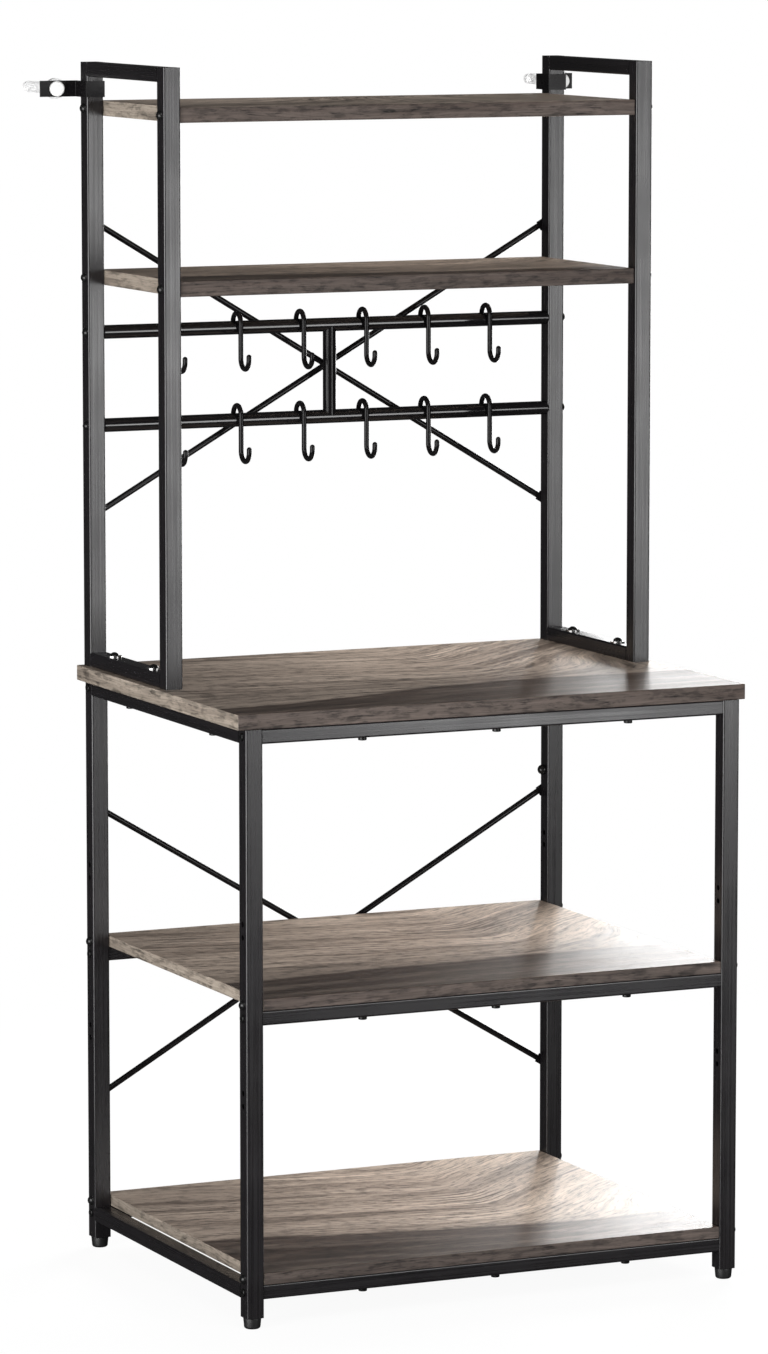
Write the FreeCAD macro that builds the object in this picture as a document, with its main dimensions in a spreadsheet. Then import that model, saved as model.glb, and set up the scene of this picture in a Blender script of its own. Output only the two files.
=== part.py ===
import FreeCAD, Part
import math
import os
import re
import Sketcher

Vector = FreeCAD.Vector
Rotation = FreeCAD.Rotation

document = FreeCAD.newDocument("bakers_rack")
sheet = document.addObject("Spreadsheet::Sheet", "Sizes")

# Driving sizes in millimetres. X runs along the rack from its mid width, Y goes back from the
# middle of the legs and Z goes up from the floor. A value that starts with = follows from others.
sizes = {
    # Legs and rails of the base unit
    "baseWidth": 594,
    "baseDepth": 458,
    "legWidth": 20,
    "tubeWall": 1.2,
    "cornerRadius": 2,
    "topPlate": 2,
    "nutPlate": 3,
    "crossRailSize": 16,
    "crossRailPlate": 1.5,
    "sideRailWidth": 20,
    "sideRailHeight": 16,
    "worktopLevel": 653,
    "middleLevel": 348,
    "bottomLevel": 48,
    "legBottom": "=footHeight + footGap",
    "legLength": "=worktopLevel - legBottom",
    "legAcross": "=(baseWidth - legWidth) / 2",
    "legDeep": "=(baseDepth - legWidth) / 2",
    "legInner": "=baseWidth / 2 - legWidth",
    "crossRailLength": "=2 * legInner",
    "crossRailDeep": "=legDeep",
    "sideRailLength": "=baseDepth - 2 * legWidth",
    # Levelling feet
    "footHeight": 11.9,
    "footGap": 0.3,
    "footTopDiameter": 19.6,
    "footFloorDiameter": 14,
    "footRounding": 2.6,
    "footStemDiameter": 8,
    "footStemLength": 22,
    "footStemClearance": 0.3,
    # Worktop and the two shelves below it
    "worktopThickness": 17,
    "worktopSideOverhang": 8,
    "worktopRearOverhang": 5,
    "worktopSetback": 2,
    "worktopLength": "=baseWidth + 2 * worktopSideOverhang",
    "worktopDepth": "=baseDepth + worktopRearOverhang - worktopSetback",
    "worktopRear": "=baseDepth / 2 + worktopRearOverhang",
    "worktopMiddle": "=worktopRear - worktopDepth / 2",
    "worktopTop": "=worktopLevel + worktopThickness",
    "shelfThickness": 13,
    "shelfSetback": 1,
    "shelfDepth": "=baseDepth - 2 * shelfSetback",
    "shelfGap": 0.3,
    "shelfLength": "=2 * (legInner - shelfGap)",
    "boardRounding": 1,
    "spareShelfRise": 88,
    "spareShelfDrop": 96,
    # Hutch frame, as wide as the base unit, and its two shelves
    "hutchWidth": "=baseWidth",
    "hutchDepth": 242,
    "hutchHeight": 679,
    "hutchSetback": 2,
    "postWidth": 20,
    "postPlate": 2,
    "hutchRailHeight": 16,
    "hutchRear": "=worktopRear - hutchSetback",
    "hutchTop": "=worktopTop + hutchHeight",
    "postAcross": "=(hutchWidth - postWidth) / 2",
    "postInner": "=hutchWidth / 2 - postWidth",
    "postRear": "=hutchRear - postWidth / 2",
    "postFront": "=hutchRear - hutchDepth + postWidth / 2",
    "hutchMiddle": "=hutchRear - hutchDepth / 2",
    "hutchRailLength": "=hutchDepth - 2 * postWidth",
    "hutchShelfThickness": 17,
    "hutchShelfInset": 3,
    "hutchShelfDepth": "=hutchDepth - 2 * hutchShelfInset",
    "hutchShelfLength": "=2 * (postInner - shelfGap)",
    "topShelfRise": 619,
    "middleShelfRise": 430,
    # Hook rails, the short tube that links them, and the hooks
    "hookRailDiameter": 15.6,
    "hookRailPlate": 1.5,
    "hookRailInset": 13,
    "hookRailDeep": "=hutchRear - hookRailInset",
    "hookRailLength": "=2 * postInner",
    "upperRailRise": 377,
    "lowerRailRise": 272,
    "linkDiameter": 15.2,
    "linkAcross": 2,
    "hookWire": 5.8,
    "hookClearance": 0.3,
    "hookLoop": "=(hookRailDiameter + hookWire) / 2 + hookClearance",
    "hookLoopRise": 5.4,
    "hookShank": 34.2,
    "hookBend": 11.5,
    "hookTip": 3,
    "hookFirst": -191,
    "hookPitch": 78.2,
    # Crossed rods at the back, with a flat lug at each end on the back of an upright. The rising
    # rod bows out behind the falling one where they cross.
    "rodDiameter": 6.8,
    "rodClearance": 0.3,
    "rodEndTrim": 10,
    "lugThickness": 2.5,
    "lugWidth": 11,
    "lugLength": 14,
    "rodOut": "=rodDiameter / 2 + rodClearance",
    "rodBowOut": "=rodOut + rodDiameter + 2 * rodClearance",
    "baseFallingLeft": 509.5,
    "baseFallingRight": 165,
    "baseRisingLeft": 169.7,
    "baseRisingMiddle": 330,
    "baseRisingRight": 496.2,
    "hutchFallingLeft": 504.2,
    "hutchFallingRight": 161.7,
    "hutchRisingLeft": 166.1,
    "hutchRisingMiddle": 325,
    "hutchRisingRight": 488.7,
    # Bolts and screws
    "boltShank": 6,
    "boltClearance": 0.2,
    "boltHole": "=boltShank + 2 * boltClearance",
    "railBoltHead": 9,
    "railBoltHeadHeight": 2.2,
    "railBoltGrip": 8,
    "domeHead": 11,
    "domeHeadHeight": 4.5,
    "domeBoltGrip": 10,
    "spareDomeHeight": 8,
    "spareDomeShank": 6,
    "spareDomeLevel": 517,
    "screwShank": 4,
    "screwClearance": 0.2,
    "screwHole": "=screwShank + 2 * screwClearance",
    "screwHead": 9.5,
    "screwHeadHeight": 3.5,
    "screwGrip": 9,
    "screwSpacing": 160,
    "screwOffset": 4,
    "sideScrewSpacing": 236,
    "recessLength": 4.6,
    "recessWidth": 1.1,
    "recessDepth": 1.3,
    "headRounding": 0.9,
    "holeDepthMargin": 1,
    "washerDiameter": 17,
    "washerThickness": 1.5,
    "hutchBoltHeadHeight": 4,
    "hutchBoltGrip": 12,
    "hutchBoltFront": 40,
    "hutchBoltRear": 47,
    "lugScrewHead": 9,
    "lugScrewHeadHeight": 2.5,
    "lugScrewGrip": 8,
    # Anti-tip brackets and wall fixings
    "strapThickness": 1.2,
    "strapHeight": 18,
    "strapDrop": 30,
    "strapRounding": 0.5,
    "strapReturn": 6,
    "flangeGap": 10.8,
    "leftFlangeReach": 44,
    "rightFlangeReach": 25,
    "leftHoleReach": 24,
    "rightHoleReach": 11.5,
    "strapLevel": "=hutchTop - strapDrop",
    "flangeFront": "=hutchRear + flangeGap",
    "flangeRear": "=flangeFront + strapThickness",
    "capDiameter": 17,
    "capHeight": 4.5,
    "capClearance": 0.3,
    "wallScrewHead": 8,
    "wallScrewHeadHeight": 2.5,
    "wallScrewLength": 72,
    "collarDiameter": 23,
    "collarThickness": 7,
    "plugDiameter": 12.5,
    "plugCore": 10.9,
    "plugLength": 82,
    "plugRibWidth": 2.6,
    "plugRibPitch": 5.4,
    "plugRear": "=flangeRear + collarThickness + plugLength",
    # The origin lies on the floor under the middle of everything above it
    "originAcross": "=(rightFlangeReach - leftFlangeReach) / 2",
    "originDeep": "=(plugRear - baseDepth / 2) / 2",
}
hookCount = 6
plugRibCount = 14

for row, (name, amount) in enumerate(sizes.items(), start=1):
    sheet.set(f"A{row}", name)
    sheet.set(f"B{row}", str(amount))
    sheet.setAlias(f"B{row}", name)
document.recompute()

# The way a fastener's head points, from its own +Z
headUp = Rotation()
headDown = Rotation(Vector(1, 0, 0), 180)
headLeft = Rotation(Vector(0, 1, 0), -90)
headRight = Rotation(Vector(0, 1, 0), 90)
headFront = Rotation(Vector(1, 0, 0), 90)
headBack = Rotation(Vector(1, 0, 0), -90)

# A tube's length is its own Z, and these turns lay it along the rack or from front to back
alongRack = Rotation(Vector(0, 1, 0), 90)
frontToBack = Rotation(Vector(1, 0, 0), -90)

# A ring's own X and Y become the rack's Y and Z
uprightRing = Rotation(Vector(1, 1, 1), 120)


def formula(text):
    return re.sub(r"\b(?!sqrt\b|asin\b)([a-z][A-Za-z]+)", r"Sizes.\1", text)


def value(text):
    return float(sheet.evalExpression(formula(text)))


def bind(item, path, text):
    item.setExpression(path, formula(text))


# Places a piece by rack coordinates, measured from the rack's own origin
def place(item, across, deep, level, turn=headUp):
    item.Placement = FreeCAD.Placement(Vector(), turn)
    bind(item, "Placement.Base.x", f"{across} - originAcross")
    bind(item, "Placement.Base.y", f"{deep} - originDeep")
    bind(item, "Placement.Base.z", level)


def addSketch(body, plane, offset="0"):
    sketch = body.newObject("Sketcher::SketchObject", "Outline")
    support = next(item for item in body.Origin.OriginFeatures if item.Role == plane)
    sketch.AttachmentSupport = [(support, "")]
    sketch.MapMode = "FlatFace"
    bind(sketch, "AttachmentOffset.Base.z", offset)
    return sketch


def setPoint(sketch, geometry, position, across, up):
    for kind, text in (("DistanceX", across), ("DistanceY", up)):
        rule = Sketcher.Constraint(kind, -1, 1, geometry, position, value(text))
        bind(sketch, f"Constraints[{sketch.addConstraint(rule)}]", text)


# A closed outline through corner points
def addOutline(sketch, points):
    corners = [Vector(value(across), value(up), 0) for across, up in points]
    count = len(corners)
    for index, corner in enumerate(corners):
        sketch.addGeometry(Part.LineSegment(corner, corners[(index + 1) % count]))
    for index, (across, up) in enumerate(points):
        sketch.addConstraint(Sketcher.Constraint("Coincident", index, 2, (index + 1) % count, 1))
        setPoint(sketch, index, 1, across, up)
    return sketch


def addRectangle(sketch, wide, tall):
    left, right = f"-({wide}) / 2", f"({wide}) / 2"
    low, high = f"-({tall}) / 2", f"({tall}) / 2"
    return addOutline(sketch, [(left, low), (right, low), (right, high), (left, high)])


def addCircles(sketch, centres, diameter):
    for across, up in centres:
        circle = Part.Circle(Vector(value(across), value(up), 0), Vector(0, 0, 1), value(diameter) / 2)
        index = sketch.addGeometry(circle)
        setPoint(sketch, index, 3, across, up)
        rule = Sketcher.Constraint("Diameter", index, value(diameter))
        bind(sketch, f"Constraints[{sketch.addConstraint(rule)}]", diameter)
    return sketch


def addPad(body, sketch, length):
    pad = body.newObject("PartDesign::Pad", "Pad")
    pad.Profile = sketch
    bind(pad, "Length", length)
    document.recompute()
    return pad


# Cuts a depth forward along the sketch's normal or back against it, or right through both ways
def addPocket(body, sketch, depth=None, forward=True):
    before = body.Shape.Volume
    pocket = body.newObject("PartDesign::Pocket", "Pocket")
    pocket.Profile = sketch
    if depth is None:
        pocket.SideType = "Symmetric"
        pocket.Type = "ThroughAll"
    else:
        pocket.Reversed = forward
        bind(pocket, "Length", depth)
    document.recompute()
    if body.Shape.Volume > before - 0.01:
        raise RuntimeError(f"a cut in {body.Label} takes nothing away")
    return pocket


def addRounding(body, feature, edges, radius):
    rounding = body.newObject("PartDesign::Fillet", "Rounding")
    rounding.Base = (feature, edges)
    bind(rounding, "Radius", radius)
    document.recompute()
    return rounding


def uprightEdges(shape):
    ends = [(edge.Vertexes[0].Point, edge.Vertexes[-1].Point) for edge in shape.Edges]
    upright = [abs(start.x - stop.x) + abs(start.y - stop.y) < 0.001 for start, stop in ends]
    return [f"Edge{index + 1}" for index, is_upright in enumerate(upright) if is_upright]


# Edges that lie wholly at one height of a shape
def edgesAt(shape, level):
    return [f"Edge{index + 1}" for index, edge in enumerate(shape.Edges)
            if abs(edge.BoundBox.ZMin - level) + abs(edge.BoundBox.ZMax - level) < 0.001]


# A rectangular tube along its own Z with solid plates at the two ends
def addTube(label, wide, tall, length, startPlate="0", endPlate="0"):
    body = document.addObject("PartDesign::Body", label)
    bar = addPad(body, addRectangle(addSketch(body, "XY_Plane"), wide, tall), length)
    addRounding(body, bar, uprightEdges(bar.Shape), "cornerRadius")
    hollow = addSketch(body, "XY_Plane", startPlate)
    addRectangle(hollow, f"{wide} - 2 * tubeWall", f"{tall} - 2 * tubeWall")
    addPocket(body, hollow, f"{length} - {startPlate} - {endPlate}")
    return body


def addRoundTube(label, diameter, length, plate="0"):
    body = document.addObject("PartDesign::Body", label)
    addPad(body, addCircles(addSketch(body, "XY_Plane"), [("0", "0")], diameter), length)
    hollow = addSketch(body, "XY_Plane", plate)
    addCircles(hollow, [("0", "0")], f"{diameter} - 2 * tubeWall")
    addPocket(body, hollow, f"{length} - 2 * {plate}")
    return body


# A flat board centred on its own origin, with its underside at Z zero
def addBoard(label, length, depth, thickness):
    body = document.addObject("PartDesign::Body", label)
    slab = addPad(body, addRectangle(addSketch(body, "XY_Plane"), length, depth), thickness)
    edges = [f"Edge{index + 1}" for index in range(len(slab.Shape.Edges))]
    addRounding(body, slab, edges, "boardRounding")
    return body


def drill(body, plane, centres, diameter, offset="0", depth=None, forward=True):
    addPocket(body, addCircles(addSketch(body, plane, offset), centres, diameter), depth, forward)


# Blind holes in both ends of a board for the bolts that hold it between two uprights
def drillBoardEnds(body, length, thickness, centres):
    holes = [(deep, f"{thickness} / 2") for deep in centres]
    depth = "domeBoltGrip + holeDepthMargin"
    drill(body, "YZ_Plane", holes, "boltHole", f"-{length} / 2", depth, True)
    drill(body, "YZ_Plane", holes, "boltHole", f"{length} / 2", depth, False)


# Legs, with bolt holes for the rails, for the shelves and for the shelves' spare heights
shelfLevels = {"middle": "middleLevel", "bottom": "bottomLevel"}
railLevels = {"top": "worktopLevel", **shelfLevels}
railBoltLevels = [f"{level} - crossRailSize / 2" for level in railLevels.values()]
shelfBoltLevels = [f"{level} + shelfThickness / 2" for level in shelfLevels.values()]
spareLevels = [f"{level} {shift}" for level in (railBoltLevels[1], shelfBoltLevels[0])
               for shift in ("+ spareShelfRise", "- spareShelfDrop")]
legHoles = [("0", f"{level} - legBottom")
            for level in railBoltLevels + shelfBoltLevels + spareLevels]
baseLugLevels = {
    "left": ("baseFallingLeft", "baseRisingLeft"),
    "right": ("baseFallingRight", "baseRisingRight"),
}
sides = {"left": "-", "right": ""}
for side, sign in sides.items():
    for end, deep in (("front", "-legDeep"), ("rear", "legDeep")):
        leg = addTube(f"leg_{end}_{side}", "legWidth", "legWidth", "legLength", "nutPlate", "topPlate")
        drill(leg, "XY_Plane", [("0", "0")], "footStemDiameter + 2 * footStemClearance", "0", "nutPlate")
        drill(leg, "YZ_Plane", legHoles, "boltHole")
        if end == "rear":
            lugHoles = [("0", f"{level} - legBottom") for level in baseLugLevels[side]]
            drill(leg, "XZ_Plane", lugHoles, "screwHole", "0", "legWidth / 2", False)
        if end == "rear" and side == "right":
            spare = [("0", "spareDomeLevel - legBottom")]
            drill(leg, "YZ_Plane", spare, "boltHole", "0", "legWidth / 2", False)
        place(leg, f"{sign}legAcross", deep, "legBottom")

        foot = document.addObject("PartDesign::Body", f"foot_{end}_{side}")
        glide = foot.newObject("PartDesign::AdditiveCone", "Glide")
        bind(glide, "Radius1", "footFloorDiameter / 2")
        bind(glide, "Radius2", "footTopDiameter / 2")
        bind(glide, "Height", "footHeight")
        document.recompute()
        addRounding(foot, glide, edgesAt(glide.Shape, 0), "footRounding")
        stem = addCircles(addSketch(foot, "XY_Plane", "footHeight"), [("0", "0")], "footStemDiameter")
        addPad(foot, stem, "footStemLength")
        place(foot, f"{sign}legAcross", deep, "0")

# Rails along the rack, each with upright holes for the screws that hold the board on top
railScrews = [f"screwOffset + {step} * screwSpacing" for step in (-1, 0, 1)]
for end, deep in (("front", "-crossRailDeep"), ("rear", "crossRailDeep")):
    for height, level in railLevels.items():
        rail = addTube(f"{end}_rail_{height}", "crossRailSize", "crossRailSize", "crossRailLength",
                       "crossRailPlate", "crossRailPlate")
        drill(rail, "XY_Plane", [("0", "0")], "boltHole", "0", "crossRailLength")
        drill(rail, "YZ_Plane", [("0", f"legInner + {across}") for across in railScrews], "screwHole")
        place(rail, "-legInner", deep, f"{level} - crossRailSize / 2", alongRack)

# Rails from the front leg to the rear leg at each side
for side, sign in sides.items():
    for height in ("top", "bottom"):
        rail = addTube(f"side_rail_{height}_{side}", "sideRailWidth", "sideRailHeight", "sideRailLength")
        if height == "top":
            holes = [("0", f"(sideRailLength {shift} sideScrewSpacing) / 2") for shift in "+-"]
            drill(rail, "XZ_Plane", holes, "screwHole")
        place(rail, f"{sign}(baseWidth - sideRailWidth) / 2", "-sideRailLength / 2",
              f"{railLevels[height]} - sideRailHeight / 2", frontToBack)

# Worktop, with blind holes for the screws below it and for the hutch bolts above it
hutchBoltPlaces = ["postFront + postWidth / 2 + hutchBoltFront", "postRear - postWidth / 2 - hutchBoltRear"]
screwDepth = "screwGrip + holeDepthMargin"
worktop = addBoard("worktop", "worktopLength", "worktopDepth", "worktopThickness")
screwHoles = [(across, f"{deep} - worktopMiddle") for across in railScrews
              for deep in ("-crossRailDeep", "crossRailDeep")]
screwHoles += [(f"{sign}(baseWidth - sideRailWidth) / 2", f"{shift}sideScrewSpacing / 2 - worktopMiddle")
               for sign in sides.values() for shift in ("", "-")]
drill(worktop, "XY_Plane", screwHoles, "screwHole", "0", screwDepth)
boltHoles = [(f"{sign}postAcross", f"{deep} - worktopMiddle")
             for sign in sides.values() for deep in hutchBoltPlaces]
drill(worktop, "XY_Plane", boltHoles, "boltHole", "worktopThickness",
      "hutchBoltGrip + holeDepthMargin", False)
place(worktop, "0", "worktopMiddle", "worktopLevel")

# Shelves of the base unit, screwed to the rails from below and bolted through the legs
for height, level in shelfLevels.items():
    shelf = addBoard(f"{height}_shelf", "shelfLength", "shelfDepth", "shelfThickness")
    holes = [(across, deep) for across in railScrews for deep in ("-crossRailDeep", "crossRailDeep")]
    drill(shelf, "XY_Plane", holes, "screwHole", "0", screwDepth)
    drillBoardEnds(shelf, "shelfLength", "shelfThickness", ("-legDeep", "legDeep"))
    place(shelf, "0", "0", level)

# Hutch posts. Only the rear pair carries the hook rails and the crossed rods.
hutchShelves = {"top": "topShelfRise", "middle": "middleShelfRise"}
hookRails = {"upper": "upperRailRise", "lower": "lowerRailRise"}
hutchLugLevels = {
    "left": ("hutchFallingLeft", "hutchRisingLeft"),
    "right": ("hutchFallingRight", "hutchRisingRight"),
}
for side, sign in sides.items():
    for end, deep in (("front", "postFront"), ("rear", "postRear")):
        post = addTube(f"hutch_post_{end}_{side}", "postWidth", "postWidth", "hutchHeight",
                       "postPlate", "postPlate")
        holes = [("0", f"{rise} + hutchShelfThickness / 2") for rise in hutchShelves.values()]
        if end == "rear":
            holes += [("hookRailDeep - postRear", rise) for rise in hookRails.values()]
            lugHoles = [("0", level) for level in hutchLugLevels[side]]
            drill(post, "XZ_Plane", lugHoles, "screwHole", "0", "postWidth / 2", False)
        drill(post, "YZ_Plane", holes, "boltHole")
        place(post, f"{sign}postAcross", deep, "worktopTop")

    for height, level in (("top", "hutchTop - hutchRailHeight / 2"),
                          ("bottom", "worktopTop + hutchRailHeight / 2")):
        rail = addTube(f"hutch_{height}_rail_{side}", "postWidth", "hutchRailHeight", "hutchRailLength")
        if height == "bottom":
            holes = [("0", "hutchBoltFront"), ("0", "hutchRailLength - hutchBoltRear")]
            drill(rail, "XZ_Plane", holes, "boltHole")
        place(rail, f"{sign}postAcross", "postFront + postWidth / 2", level, frontToBack)

for height, rise in hutchShelves.items():
    shelf = addBoard(f"hutch_shelf_{height}", "hutchShelfLength", "hutchShelfDepth", "hutchShelfThickness")
    drillBoardEnds(shelf, "hutchShelfLength", "hutchShelfThickness",
                   ("postFront - hutchMiddle", "postRear - hutchMiddle"))
    place(shelf, "0", "hutchMiddle", f"worktopTop + {rise}")

# Hook rails, and the short tube between them with its ends shaped to fit round them
for height, rise in hookRails.items():
    rail = addRoundTube(f"hook_rail_{height}", "hookRailDiameter", "hookRailLength", "hookRailPlate")
    drill(rail, "XY_Plane", [("0", "0")], "boltHole", "0", "hookRailLength")
    place(rail, "-postInner", "hookRailDeep", f"worktopTop + {rise}", alongRack)
link = addRoundTube("hook_rail_link", "linkDiameter", "upperRailRise - lowerRailRise")
drill(link, "YZ_Plane", [("0", "0"), ("0", "upperRailRise - lowerRailRise")], "hookRailDiameter")
place(link, "linkAcross", "hookRailDeep", "worktopTop + lowerRailRise")


# A round bar, ring or ball whose sizes follow formulas
def addShape(kind, label, amounts, base=("0", "0", "0"), turn=headUp):
    shape = document.addObject(f"Part::{kind}", label)
    shape.Placement = FreeCAD.Placement(Vector(), turn)
    for path, text in amounts.items():
        bind(shape, path, text)
    for axis, text in zip("xyz", base):
        bind(shape, f"Placement.Base.{axis}", text)
    return shape


def addUnion(label, shapes):
    union = document.addObject("Part::MultiFuse", label)
    union.Shapes = shapes
    union.Refine = True
    return union


# S hook of round wire. Its own origin is on the axis of the rail that it hangs on. The loop's two
# legs straddle the rail and its top stands clear of it.
def addHook(label, across, level):
    wire = {"Radius": "hookWire / 2"}
    half = {"Radius2": "hookWire / 2", "Angle3": "180"}
    frontDeep = "-hookLoop - 2 * hookBend"
    loop = addShape("Torus", "Loop", {"Radius1": "hookLoop", **half}, ("0", "0", "hookLoopRise"), uprightRing)
    rearLeg = addShape("Cylinder", "RearLeg", {**wire, "Height": "hookLoopRise"}, ("0", "hookLoop", "0"))
    loopEnd = addShape("Sphere", "LoopEnd", wire, ("0", "hookLoop", "0"))
    shank = addShape("Cylinder", "Shank", {**wire, "Height": "hookShank + hookLoopRise"},
                     ("0", "-hookLoop", "-hookShank"))
    bend = addShape("Torus", "Bend", {"Radius1": "hookBend", **half},
                    ("0", "-hookLoop - hookBend", "-hookShank"),
                    uprightRing * Rotation(Vector(0, 0, 1), 180))
    tip = addShape("Cylinder", "Tip", {**wire, "Height": "hookTip"}, ("0", frontDeep, "-hookShank"))
    tipEnd = addShape("Sphere", "TipEnd", wire, ("0", frontDeep, "hookTip - hookShank"))
    hook = addUnion(label, [loop, rearLeg, loopEnd, shank, bend, tip, tipEnd])
    place(hook, across, "hookRailDeep", level)


for height, rise in hookRails.items():
    for number in range(hookCount):
        addHook(f"hook_{height}_{number + 1}", f"hookFirst + {number} * hookPitch", f"worktopTop + {rise}")


# A round bar between two points, short of each by a trim
def addBar(start, stop, startTrim, stopTrim):
    steps = [f"(({last}) - ({first}))" for first, last in zip(start, stop)]
    length = "sqrt(" + " + ".join(f"{step} * {step}" for step in steps) + ")"
    heading = Vector(*[value(step) for step in steps]).normalize()
    near = [f"{first} + ({part:.9f}) * {startTrim}" for first, part in zip(start, heading)]
    return addShape("Cylinder", "Bar",
                    {"Radius": "rodDiameter / 2", "Height": f"{length} - {startTrim} - {stopTrim}"},
                    near, Rotation(Vector(0, 0, 1), heading))


# A rod's flattened end on the back of an upright: a strip from the screw towards a point, and a round end
def addLug(across, rear, level, toward):
    heading = Vector(value(f"{toward[0]} - ({across})"), 0, value(f"{toward[2]} - ({level})"))
    slope = Rotation(Vector(0, 1, 0), -math.degrees(math.atan2(heading.z, heading.x)))
    down = slope.multVec(Vector(0, 0, -0.5))
    strip = addShape("Box", "LugStrip", {
        "Length": "lugLength", "Width": "lugThickness", "Height": "lugWidth",
    }, (f"{across} + ({down.x:.9f}) * lugWidth", rear, f"{level} + ({down.z:.9f}) * lugWidth"), slope)
    end = addShape("Cylinder", "LugEnd", {"Radius": "lugWidth / 2", "Height": "lugThickness"},
                   (across, rear, level), frontToBack)
    return [strip, end]


# A rod through two or three points, drilled at its lugs. The first and last are the screws' places.
def addRod(label, points, rear, base):
    shapes = [addShape("Sphere", "Knee", {"Radius": "rodDiameter / 2"}, point) for point in points[1:-1]]
    trims = ["rodEndTrim"] + ["0"] * len(points[1:-1]) + ["rodEndTrim"]
    for start, stop, startTrim, stopTrim in zip(points, points[1:], trims, trims[1:]):
        shapes.append(addBar(start, stop, startTrim, stopTrim))
    holes = []
    for end, toward in ((points[0], points[1]), (points[-1], points[-2])):
        shapes += addLug(end[0], rear, end[2], toward)
        holes.append(addShape("Cylinder", "LugHole",
                              {"Radius": "screwHole / 2", "Height": "3 * lugThickness"},
                              (end[0], f"{rear} - lugThickness", end[2]), frontToBack))
    brace = document.addObject("Part::Cut", label)
    brace.Base = addUnion("Brace", shapes)
    brace.Tool = addUnion("LugHoles", holes)
    place(brace, "0", "0", base)


for unit, across, rear, base in (("base", "legAcross", "baseDepth / 2", "0"),
                                 ("hutch", "postAcross", "hutchRear", "worktopTop")):
    near, far = f"{rear} + rodOut", f"{rear} + rodBowOut"
    addRod(f"{unit}_brace_falling", [(f"-{across}", near, f"{unit}FallingLeft"),
                                     (across, near, f"{unit}FallingRight")], rear, base)
    addRod(f"{unit}_brace_rising", [(f"-{across}", near, f"{unit}RisingLeft"),
                                    ("0", far, f"{unit}RisingMiddle"),
                                    (across, near, f"{unit}RisingRight")], rear, base)


# Anti-tip brackets: a strap round the rear post that turns back into a flange for the wall screw
def addBracket(label, points, holeAcross, across):
    body = document.addObject("PartDesign::Body", label)
    strap = addPad(body, addOutline(addSketch(body, "XY_Plane"), points), "strapHeight")
    addRounding(body, strap, uprightEdges(strap.Shape), "strapRounding")
    drill(body, "XZ_Plane", [(holeAcross, "strapHeight / 2")], "screwHole")
    place(body, across, "postRear", "strapLevel - strapHeight / 2")


postHalf = "postWidth / 2"
strapOut = "(postWidth / 2 + strapThickness)"
flangeNear = "postWidth / 2 + flangeGap"
flangeFar = "postWidth / 2 + flangeGap + strapThickness"
clip = [(strapOut, f"-{postHalf} + strapReturn"), (postHalf, f"-{postHalf} + strapReturn"),
        (postHalf, f"-{postHalf}"), (f"-{postHalf}", f"-{postHalf}")]
strapFront = [(f"-{strapOut}", f"-{strapOut}"), (strapOut, f"-{strapOut}")]
leftFlange = [(f"-{postHalf}", flangeFar), (f"-{postHalf} - leftFlangeReach", flangeFar),
              (f"-{postHalf} - leftFlangeReach", flangeNear), (f"-{strapOut}", flangeNear)]
rightFlange = [(f"-{postHalf}", flangeNear), (f"{postHalf} + rightFlangeReach", flangeNear),
               (f"{postHalf} + rightFlangeReach", flangeFar), (f"-{strapOut}", flangeFar)]
addBracket("anti_tip_bracket_left", clip + leftFlange + strapFront,
           f"-{postHalf} - leftHoleReach", "-postAcross")
addBracket("anti_tip_bracket_right", clip + rightFlange + strapFront,
           f"{postHalf} + rightHoleReach", "postAcross")
wallScrewPlaces = ["-hutchWidth / 2 - leftHoleReach", "hutchWidth / 2 + rightHoleReach"]


# Fasteners have the underside of the head at Z zero, the head above it and the shank below it
def addShank(body, diameter, length):
    addPad(body, addCircles(addSketch(body, "XY_Plane", f"-({length})"), [("0", "0")], diameter), length)


def addPanScrew(label, head, headHeight, shank, length):
    body = document.addObject("PartDesign::Body", label)
    disc = addPad(body, addCircles(addSketch(body, "XY_Plane"), [("0", "0")], head), headHeight)
    addRounding(body, disc, edgesAt(disc.Shape, value(headHeight)), "headRounding")
    addShank(body, shank, length)
    for wide, tall in (("recessLength", "recessWidth"), ("recessWidth", "recessLength")):
        slot = addRectangle(addSketch(body, "XY_Plane", headHeight), wide, tall)
        addPocket(body, slot, "recessDepth", False)
    return body


def addDomeBolt(label, head, headHeight, shank, length):
    body = document.addObject("PartDesign::Body", label)
    ball = f"(({head} / 2) * ({head} / 2) + {headHeight} * {headHeight}) / (2 * {headHeight})"
    dome = body.newObject("PartDesign::AdditiveSphere", "Dome")
    bind(dome, "Radius", ball)
    bind(dome, "Angle1", f"asin(({ball} - {headHeight}) / ({ball}))")
    bind(dome, "Placement.Base.z", f"{headHeight} - {ball}")
    addShank(body, shank, length)
    return body


def addCopies(fastener, places):
    copies = []
    for across, deep, level, turn in places:
        copy = document.addObject("App::Link", "Copy")
        copy.LinkedObject = fastener
        place(copy, across, deep, level, turn)
        copies.append(copy)
    return copies


def addGroup(label, copies):
    group = document.addObject("Part::Compound", label)
    group.Links = copies


heads = {"left": headLeft, "right": headRight}
legEnds = ("-legDeep", "legDeep")
postEnds = ("postFront", "postRear")

railBolt = addPanScrew("RailBolt", "railBoltHead", "railBoltHeadHeight", "boltShank",
                       "legWidth + railBoltGrip")
addGroup("rail_bolts", addCopies(railBolt, [
    (f"{sign}baseWidth / 2", deep, level, heads[side])
    for side, sign in sides.items() for deep in legEnds for level in railBoltLevels
]))

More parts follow.
